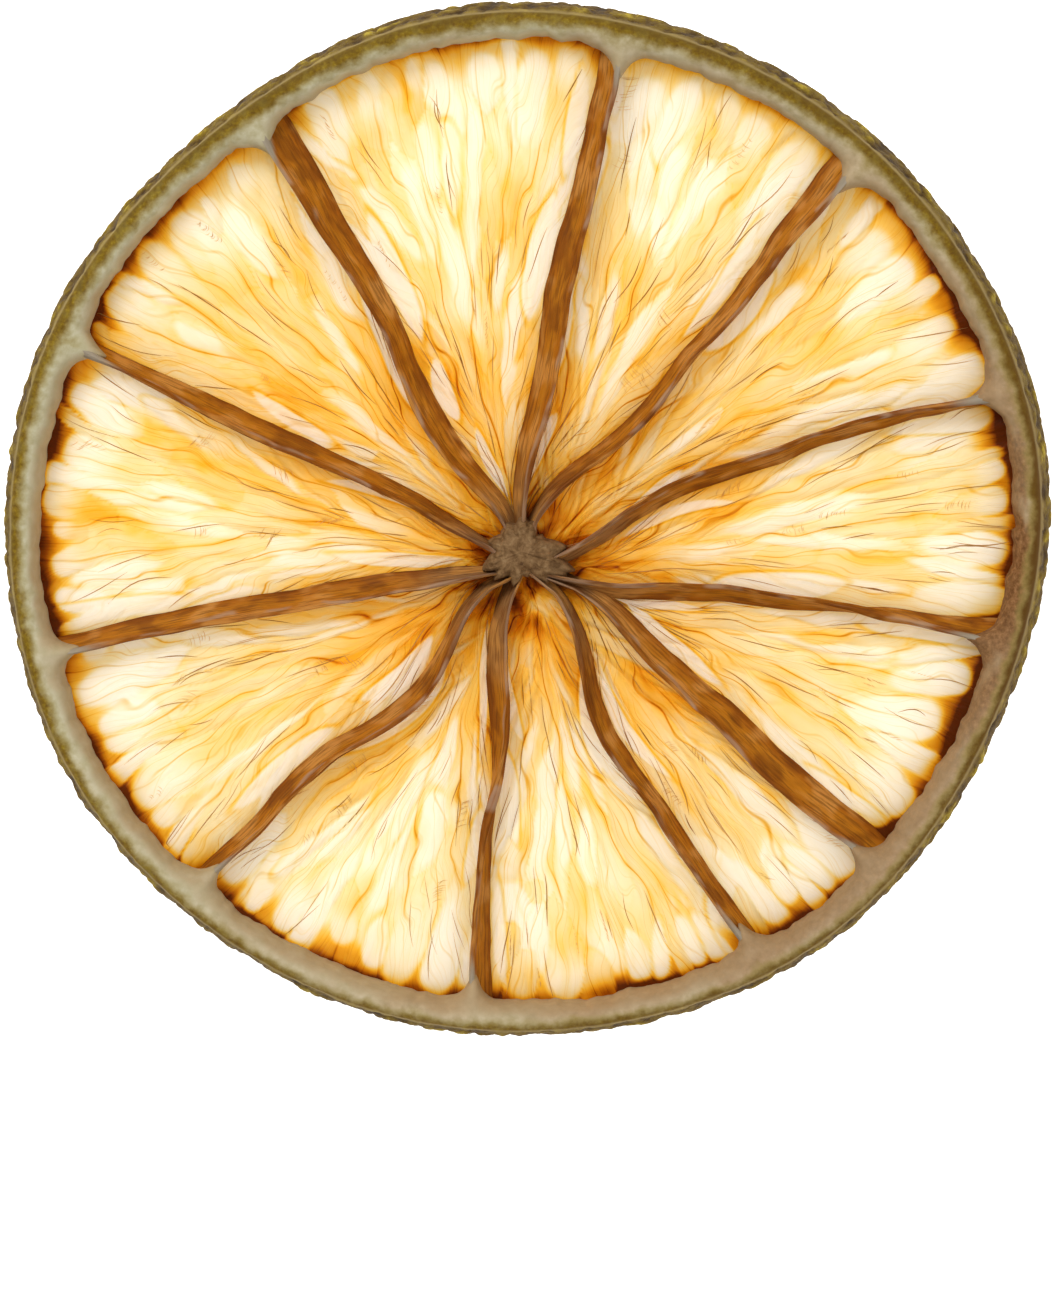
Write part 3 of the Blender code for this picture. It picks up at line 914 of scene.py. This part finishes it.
# Patches of the pulp that dried clearer (below 0) or more amber (above 0): each one's place
# from the slice's centre, its half length away from the hub, its half width, and how much.
PATCHES = (
    (-12.9, 13.3, 2.4, 1.6, -1.0), (-7.9, 11.6, 2.8, 0.7, -0.9), (-2.9, 18.1, 1.0, 0.8, -0.8),
    (0.0, 16.6, 1.5, 1.2, -0.6), (5.3, 16.8, 1.6, 1.4, -0.8), (7.4, 15.0, 1.5, 1.0, -0.5),
    (15.5, 10.6, 1.6, 1.3, -0.8), (18.1, -1.2, 1.8, 1.0, -1.0), (17.0, 2.4, 1.5, 1.6, -0.5),
    (-18.0, 3.0, 1.2, 1.2, -0.8), (-18.4, -1.6, 1.6, 1.0, -0.7), (-12.9, -2.0, 2.0, 0.6, -0.6),
    (-17.3, -7.2, 1.8, 1.3, -0.9), (-13.4, -12.1, 1.5, 1.3, -0.8), (-0.6, -13.5, 2.8, 0.4, -1.0),
    (0.84, -3.3, 0.8, 0.6, -1.0), (0.7, -18.3, 0.8, 0.7, -1.0), (4.2, -14.8, 1.5, 1.0, -0.5),
    (11.4, -14.6, 1.4, 1.0, -0.8), (16.0, -9.1, 1.8, 1.4, -0.8), (-9.4, -16.9, 1.2, 1.6, -0.6),
    (-14.6, 3.2, 2.6, 0.6, 0.8), (-17.3, 0.3, 2.0, 0.6, 1.0), (-9.4, 5.3, 3.2, 0.7, 0.8),
    (-4.4, 7.4, 3.0, 0.6, 0.9), (4.0, -1.2, 2.0, 0.5, 1.0), (7.0, 1.1, 3.0, 0.8, 0.6),
    (11.1, 10.8, 2.4, 0.5, 0.8), (1.5, 8.3, 3.0, 0.5, 0.5), (5.9, -7.2, 2.8, 0.5, 0.7),
    (9.9, -9.8, 2.0, 0.6, 0.6), (-5.2, -5.2, 3.0, 1.0, 0.7), (-3.5, 3.2, 2.0, 0.8, 0.6),
    (4.9, 3.2, 2.5, 0.8, 0.5), (-5.6, 18.3, 1.2, 0.5, 0.9),
)


def patches_at(segment, seed):
    """How much clearer, below 0, or more amber, above 0, the pulp is than around it."""
    x = segment.plan[:, 0] + 0.45 * rough(segment.x / 1.6, segment.y / 0.9, seed)
    y = segment.plan[:, 1] + 0.45 * rough(segment.x / 1.6, segment.y / 0.9, seed + 1)
    total = np.zeros(len(x))
    for px, py, long, wide, strength in PATCHES:
        u, v = turned(x - px, y - py, math.atan2(py - HUB[1], px - HUB[0]))
        u, v = u / long, v / wide
        total += strength * np.exp(-((u * u + v * v) ** 1.4))
    return total


def clear_lenses(segment, seed):
    """Clear lens-shaped sacs along the walls: how clear, and the thin line around them."""
    draw = np.random.default_rng(seed)
    clear = np.zeros(len(segment.x))
    line = np.zeros(len(segment.x))
    for side in (-1, 1):
        along = draw.uniform(2.6, 5.5)
        while along < 16.5:
            long = draw.uniform(1.3, 3.1)
            wide = draw.uniform(0.30, 0.66) * min(1.0, 0.35 + along / 12)
            if draw.uniform() < 0.72:
                u = (segment.radius - (along + long)) / long
                lag = draw.uniform(0.0, 0.25) * (u + 1) ** 2
                away = segment.to_wall - 0.06 - wide - lag
                v = np.where(segment.side * side > 0, away / wide, 9.0)
                far = np.abs(v) ** 1.5 + np.abs(u) ** 2.2
                clear = np.maximum(clear, ease(1.06, 0.80, far))
                ring = bell((far - 1.10) * wide * 0.7, 0.06) * (np.abs(u) < 1.3)
                line = np.maximum(line, ring * ease(-0.6, 0.4, v))
            along += 2 * long + draw.uniform(-0.2, 2.2)
    return clear, line


def lanes_of(segment, per_mm, spread):
    """Two sets of lanes that run out with the sacs, each taking over as the other splits."""
    reach = segment.radius / USUAL_REACH
    label = segment.side / np.maximum(reach, 0.05) ** spread
    lanes_here = per_mm * segment.half_turn * USUAL_REACH * reach ** (1 + spread)
    crowd = np.log2(np.maximum(lanes_here, 1e-3))
    octave = np.floor(crowd)
    share = ease(0, 1, crowd - octave)
    even = octave + octave % 2
    odd = octave + (octave + 1) % 2
    bend = 0.40 * noise(segment.x / 3.2, segment.y / 1.4, 107 + segment.number)
    bend += 0.13 * noise(segment.x / 1.5, segment.y / 0.7, 131 + segment.number)
    weight = np.where(octave % 2 == 0, 1 - share, share)
    lanes = [(label + bend / 2.0**crowd) * 2.0**step for step in (even, odd)]
    return lanes, weight, (even, odd)


def branching_lines(segment, per_mm, spread, seed, length):
    """Smooth noise that runs out with the sacs and splits as the segment widens."""
    lanes, weight, octaves = lanes_of(segment, per_mm, spread)
    fields = [
        noise(lane, segment.radius / length + 17.3 * octave, seed)
        for lane, octave in zip(lanes, octaves)
    ]
    return weight * fields[0] + (1 - weight) * fields[1]


def glowing_veins(segment, seed):
    """Soft veins along the lanes, which come and go."""
    lanes, weight, _ = lanes_of(segment, VEINS_PER_MM, VEIN_SPREAD)
    even, odd = (bell(np.sin(np.pi * lane) / np.pi, 0.15) for lane in lanes)
    vein = weight * even + (1 - weight) * odd
    return vein * ease(-0.3, 0.6, noise(segment.x / 2.6, segment.y / 0.9, seed))


def edge_density(segment, seed, cloud, outside, inside_plump):
    """How much denser the pulp is where it meets the rind and the walls."""
    upper = ease(0.4, 0.9, np.sin(np.radians(segment.angle)))
    strength = (0.85 + 0.45 * noise(segment.y / 4.0, 5.5, seed + 17)) * (1.05 - 0.40 * upper)
    width = 0.34 - 0.14 * ease(0.5, 0.95, np.sin(np.radians(segment.angle)))
    width += 0.24 * noise(segment.y / 1.4, 3.5, seed + 12)
    rim = bell(np.clip(segment.to_rind - 0.12, 0, 9), width) * (1 - 0.7 * inside_plump)
    outside = outside * ease(1.9, 0.6, segment.to_rind) * (1.15 - 0.65 * upper)
    density = strength * (outside + (1.9 + 0.6 * cloud) * rim)
    corner_size = 0.9 + 0.5 * noise(np.sign(segment.side) * 2.5, 7.5, seed + 16)
    corner = bell(np.hypot(segment.to_rind - 0.1, segment.to_wall * 1.3), corner_size)
    density += 1.5 * corner * (0.9 + 0.5 * cloud)
    wall_side = noise(segment.radius / 2.0, np.sign(segment.side) * 4.5, seed + 13)
    return density + (0.30 + 0.35 * wall_side) * bell(segment.to_wall, 0.14)


def pulp_fields(segment):
    """How amber the pulp is at every point, its relief, and how strongly it is lined."""
    seed = 100 + 10 * segment.number
    front = sacs_of(segment, seed, 1.0)
    back = sacs_of(segment, seed + 1, 1.3)
    near_f, gap_f, owner_f, along_f = sac_fields(segment, front, 0.10)
    near_b, gap_b, owner_b, _ = sac_fields(segment, back, 0.12)
    draw = np.random.default_rng(seed + 2)
    tone_f = draw.uniform(0, 1, len(front))[owner_f]
    tone_b = draw.uniform(0, 1, len(back))[owner_b]
    plump = front[owner_f, 5] > 0
    out = segment.along
    cloud = rough(segment.x / 3.6, segment.y / 1.7, seed + 3)
    streak = branching_lines(segment, 0.45, 0.9, seed + 4, 7.0)
    fine = branching_lines(segment, 1.3, 1.0, seed + 5, 5.0)

    # The sacs, each with a tone of its own further out, and clouds and streaks over them.
    base = 0.22 + 0.29 * (1 - ease(0.12, 0.72, out)) + 0.14 * bell(out, 0.20)
    cells = ease(0.10, 0.55, out)
    tone_f = 0.5 + (tone_f - 0.5) * (0.35 + 0.65 * cells)
    tone_b = 0.5 + (tone_b - 0.5) * (0.35 + 0.65 * cells)
    density = base * (0.30 + 0.85 * tone_f + 0.50 * tone_b)
    density *= 1.12 - 0.30 * ease(-0.6, 0.9, along_f)
    density += 0.17 * np.clip(cloud + 0.1, 0, 1.2)
    density += (0.14 + 0.42 * base) * np.clip(streak, -0.3, 1) + 0.08 * fine

    # Clear sacs, dark lines in the gaps between sacs, and veins.
    clear = (tone_f < 0.48) * ease(0.03, 0.20, gap_f) * ease(1.2, 0.8, near_f)
    clear_head = plump * ease(-0.4, 0.4, along_f) * ease(0.02, 0.20, gap_f)
    clear = np.maximum(clear, 0.8 * clear_head * ease(1.1, 0.8, near_f))
    density *= 1 - 0.90 * clear * ease(0.10, 0.4, out)
    edged = ease(-0.5, 0.6, noise(segment.x / 2.8, segment.y / 1.4, seed + 8) + 0.1)
    tip = 1 - 0.75 * ease(0.55, 0.95, np.abs(along_f)) * (1 - plump)
    density += (0.15 + 0.15 * base) * bell(gap_f, 0.065) * edged * tip * cells
    vein = glowing_veins(segment, seed + 6)
    density += (0.20 + 0.55 * base) * vein * (1 - 0.6 * clear)
    density += 0.10 * bell(gap_b, 0.09) * (1 - edged)

    # The patches and lenses, then what is denser at the rind, the walls and the core.
    patch = patches_at(segment, seed + 18)
    clearer, ambered = np.clip(-patch, 0, 1), np.clip(patch, 0, 1)
    density = density * (1 - 0.72 * clearer) + ambered * (0.50 + 0.4 * cloud)
    lens, lens_line = clear_lenses(segment, seed + 14)
    density = density * (1 - 0.92 * lens) + 0.50 * lens_line
    inside_plump = plump * ease(1.05, 0.85, near_f) * ease(0.02, 0.12, gap_f)
    outside = ease(0.94, 1.12, near_f)
    density += edge_density(segment, seed, cloud, outside, inside_plump)
    pocket = bell(segment.radius - 1.3, 1.25)
    pocket *= 0.85 + 0.9 * rough(segment.x, segment.y * 1.6, seed + 15)
    density += 1.35 * np.clip(pocket, 0, 2) * (1 - 0.85 * clearer)

    bulge = 0.16 * np.clip(1 - near_f**2, 0, 1) + 0.07 * np.clip(1 - near_b**2, 0, 1)
    relief = bulge - 0.05 * bell(gap_f, 0.09) + 0.03 * fine + 0.06 * cloud + 0.05 * lens
    lined = (0.55 + 0.95 * (1 - out)) * (1 - 0.75 * lens) * (1 - 0.4 * clear)
    return np.clip(density, 0.02, FULL_DENSITY * 1.1), relief, lined


def pulp_heights(segment, relief):
    """The sheet's upper and lower surface: raised where it hangs from the walls and the rind."""
    sag = 0.14 * noise(segment.plan[:, 0] / 6, segment.plan[:, 1] / 6, 91)
    at_edge = np.maximum(bell(segment.to_wall, 0.22), bell(segment.to_rind, 0.45))
    at_edge = np.maximum(at_edge, bell(segment.radius - PULP_START, 0.8))
    middle = PULP_HEIGHT + sag * (1 - bell(segment.to_wall, 0.6)) + 0.18 * bell(segment.to_rind, 0.8)
    top = middle + PULP_THICKNESS / 2 + relief * (1 - 0.7 * at_edge)
    bottom = middle - PULP_THICKNESS / 2 - 0.5 * relief * (1 - 0.7 * at_edge)
    return top, bottom


def quads(ids):
    """The quads of a grid of point numbers."""
    corners = (ids[:-1, :-1], ids[1:, :-1], ids[1:, 1:], ids[:-1, 1:])
    return np.stack([corner.ravel() for corner in corners], axis=1)


def border(ids):
    """The point numbers around a grid of them."""
    return np.concatenate([ids[:, 0], ids[-1, 1:], ids[-2::-1, -1], ids[0, -2:0:-1]])


def make_pulp(number, material):
    """One segment's sheet of pulp. Its lower side has a point for every second one above."""
    segment = Segment(number)
    density, relief, lined = pulp_fields(segment)
    top, bottom = pulp_heights(segment, relief)
    grid = np.arange(len(top)).reshape(segment.columns, segment.rows)
    coarse = grid[::2, ::2]
    lower = len(top) + np.arange(coarse.size).reshape(coarse.shape)
    upper_points = np.column_stack([segment.plan, top])
    lower_points = np.column_stack([segment.plan, bottom])[coarse.ravel()]

    above, below = border(grid), border(lower)
    first, middle, last = above[::2], above[1::2], np.roll(above, -2)[::2]
    next_below = np.roll(below, -1)
    rim = np.stack([first, below, next_below, middle], axis=1)
    all_quads = np.vstack([quads(grid), quads(lower)[:, ::-1], rim])
    rim_ends = np.stack([middle, next_below, last], axis=1)
    faces = np.vstack([all_quads[:, [0, 1, 2]], all_quads[:, [0, 2, 3]], rim_ends])

    (even_lane, odd_lane), weight, (even, odd) = lanes_of(segment, VEINS_PER_MM, VEIN_SPREAD)
    masks = {
        "amber": density,
        "lined": lined,
        "lanes": np.column_stack([even_lane + 30 * number, odd_lane + 30 * number, weight]),
        "along": np.column_stack([segment.radius, 5.3 * even, 5.3 * odd]),
    }
    on_both = np.concatenate([grid.ravel(), coarse.ravel()])
    masks = {name: values[on_both] for name, values in masks.items()}
    points = np.vstack([upper_points, lower_points])
    add_piece(f"pulp_{number + 1:02d}", material, points, faces, masks)
    return segment, top


# Fibres

FIBRES = 48
CREASE_GROUPS = 6


def on_surface(surface, lane, out):
    """Points on a segment's surface, by their place across it and out along it, 0 to 1."""
    columns, rows = surface.shape[:2]
    column = np.clip((lane + 1) / 2, 0.01, 0.99) * (columns - 1)
    row = np.clip(out, 0, 0.985) ** (1 / ALONG_POWER) * (rows - 1)
    low_c, low_r = column.astype(int), row.astype(int)
    fc, fr = (column - low_c)[:, None], (row - low_r)[:, None]
    high_c, high_r = np.minimum(low_c + 1, columns - 1), np.minimum(low_r + 1, rows - 1)
    return (
        surface[low_c, low_r] * (1 - fc) * (1 - fr) + surface[high_c, low_r] * fc * (1 - fr)
        + surface[low_c, high_r] * (1 - fc) * fr + surface[high_c, high_r] * fc * fr
    )


def thread(line, half, tone):
    """A thin three-sided thread along a line, tapered at both ends."""
    count = len(line)
    line = line + np.array([0, 0, 0.012])
    ahead = np.gradient(line, axis=0)
    across = np.stack([-ahead[:, 1], ahead[:, 0], np.zeros(count)], axis=1)
    across /= np.linalg.norm(across, axis=1, keepdims=True) + 1e-9
    half = half * np.sin(np.pi * np.linspace(0.06, 0.94, count))[:, None]
    points = [line - across * half, line + across * half, line + np.array([0, 0, 1.0]) * half]
    return np.vstack(points), loop_faces(3, count, True, False), {"tone": np.full(3 * count, tone)}


def make_fibres(segments, material):
    """Fine dark threads that run out with the pulp, and groups of short creases across it."""
    draw = np.random.default_rng(5)
    threads = []
    for segment, top in segments:
        surface = np.column_stack([segment.plan, top]).reshape(segment.columns, segment.rows, 3)
        for _ in range(FIBRES):
            begin = draw.uniform(0.02, 0.90)
            length = draw.uniform(0.05, 0.15)
            run = np.linspace(0, 1, 9)
            out = begin + length * run
            label = draw.uniform(-0.96, 0.96) / (begin + 0.06) ** 1.1
            lane = label * (out + 0.06) ** 1.1 + draw.normal(0, 0.045) * run
            lane += draw.normal(0, 0.02) * np.sin(np.pi * run)
            line = on_surface(surface, lane, out)
            threads.append(thread(line, draw.uniform(0.012, 0.024), draw.uniform(0.4, 1.1)))
        for _ in range(CREASE_GROUPS):
            out = draw.uniform(0.35, 0.93)
            lane = draw.uniform(-0.85, 0.85)
            width = draw.uniform(0.25, 0.50) / (segment.half_turn[0] * USUAL_REACH * out)
            slant = draw.uniform(-0.022, 0.022)
            spacing = draw.uniform(0.0055, 0.0085)
            tone = draw.uniform(0.10, 0.35)
            for number in range(draw.integers(4, 10)):
                run = np.linspace(-0.5, 0.5, 4)
                place = out + spacing * (number + draw.normal(0, 0.30)) + slant * run + 0.010 * run**2
                across = lane + width * draw.uniform(0.4, 1.2) * run + draw.normal(0, 0.14) * width
                line = on_surface(surface, across, place)
                threads.append(thread(line, draw.uniform(0.009, 0.015), tone))
    add_piece("pulp_fibres", material, *joined(threads))


# Stage

VIEW_DISTANCE = 300.0
VIEW_TILT_UP = 5.0
VIEW_TILT_RIGHT = 2.5
SENSOR = 36.0

# The floor in metres: half its width, and how far below the slice it lies.
FLOOR_HALF = 1.2
FLOOR_GAP = 0.00002
FLOOR_GLOW = (1.0, 0.985, 0.96, 1.0)
WORLD_LIGHT = 0.45
# The soft lights, in metres and watts: the place, the width and the power of each.
LIGHTS = {
    "key": ((-0.25, 0.35, 0.45), 0.25, 2.2),
    "fill": ((0.35, -0.20, 0.40), 0.35, 0.9),
}


def make_camera():
    """Looks down on the slice, a little from its upper right, as the photograph was taken."""
    below = (PHOTO_HEIGHT / 2 - SLICE_CENTRE_PX[1]) / PX_PER_MM
    aside = (SLICE_CENTRE_PX[0] - PHOTO_WIDTH / 2) / PX_PER_MM
    back = Vector((
        math.sin(math.radians(VIEW_TILT_RIGHT)), math.sin(math.radians(VIEW_TILT_UP)), 1.0,
    )).normalized()
    aim = Vector((OUTLINE_CENTRE[0] - aside, OUTLINE_CENTRE[1] - below, SLICE_THICKNESS * 0.8))
    data = bpy.data.cameras.new("camera")
    data.sensor_fit = "VERTICAL"
    data.sensor_height = SENSOR
    data.sensor_width = SENSOR
    data.lens = SENSOR * VIEW_DISTANCE / (PHOTO_HEIGHT / PX_PER_MM)
    data.clip_start, data.clip_end = 0.01, 10.0
    camera = link_new("camera", data)
    right = Vector((0, 1, 0)).cross(back).normalized()
    turn = Matrix((right, back.cross(right), back)).transposed()
    place = (aim + back * VIEW_DISTANCE) * METRES_PER_MM
    camera.matrix_world = Matrix.Translation(place) @ turn.to_4x4()
    bpy.context.scene.camera = camera


def make_floor():
    """A bright floor that lights the slice from below."""
    mesh = bpy.data.meshes.new("floor")
    corners = [(x * FLOOR_HALF, y * FLOOR_HALF, 0) for x, y in ((-1, -1), (1, -1), (1, 1), (-1, 1))]
    mesh.from_pydata(corners, [], [(0, 1, 2, 3)])
    floor = link_new("floor", mesh)
    floor.location.z = -FLOOR_GAP
    paint = Paint("bright_floor")
    surface = paint.node(
        "ShaderNodeBsdfPrincipled",
        Base_Color=(0.9, 0.9, 0.9, 1.0), Roughness=0.6, Emission_Color=FLOOR_GLOW, Emission_Strength=1.0,
    )
    paint.node("ShaderNodeOutputMaterial", Surface=surface.outputs[0])
    mesh.materials.append(paint.material)


def make_lights():
    """Two soft lights that face the slice, and a white surrounding."""
    world = bpy.data.worlds.new("studio")
    world.use_nodes = True
    surrounding = world.node_tree.nodes["Background"]
    surrounding.inputs["Color"].default_value = (1.0, 1.0, 1.0, 1.0)
    surrounding.inputs["Strength"].default_value = WORLD_LIGHT
    bpy.context.scene.world = world
    for name, (place, size, power) in LIGHTS.items():
        data = bpy.data.lights.new(name, "AREA")
        data.shape = "DISK"
        data.size = size
        data.energy = power
        light = link_new(name, data)
        light.location = place
        light.rotation_mode = "QUATERNION"
        light.rotation_quaternion = Vector(place).to_track_quat("Z", "Y")
    view = bpy.context.scene.view_settings
    view.view_transform = "Standard"
    view.look = "None"


def main():
    make_camera()
    make_floor()
    make_lights()
    make_rind(rind_material())
    make_walls(wall_material())
    make_core(core_material())
    pulp = pulp_material()
    segments = [make_pulp(number, pulp) for number in range(len(WALLS))]
    make_fibres(segments, thread_material())


main()
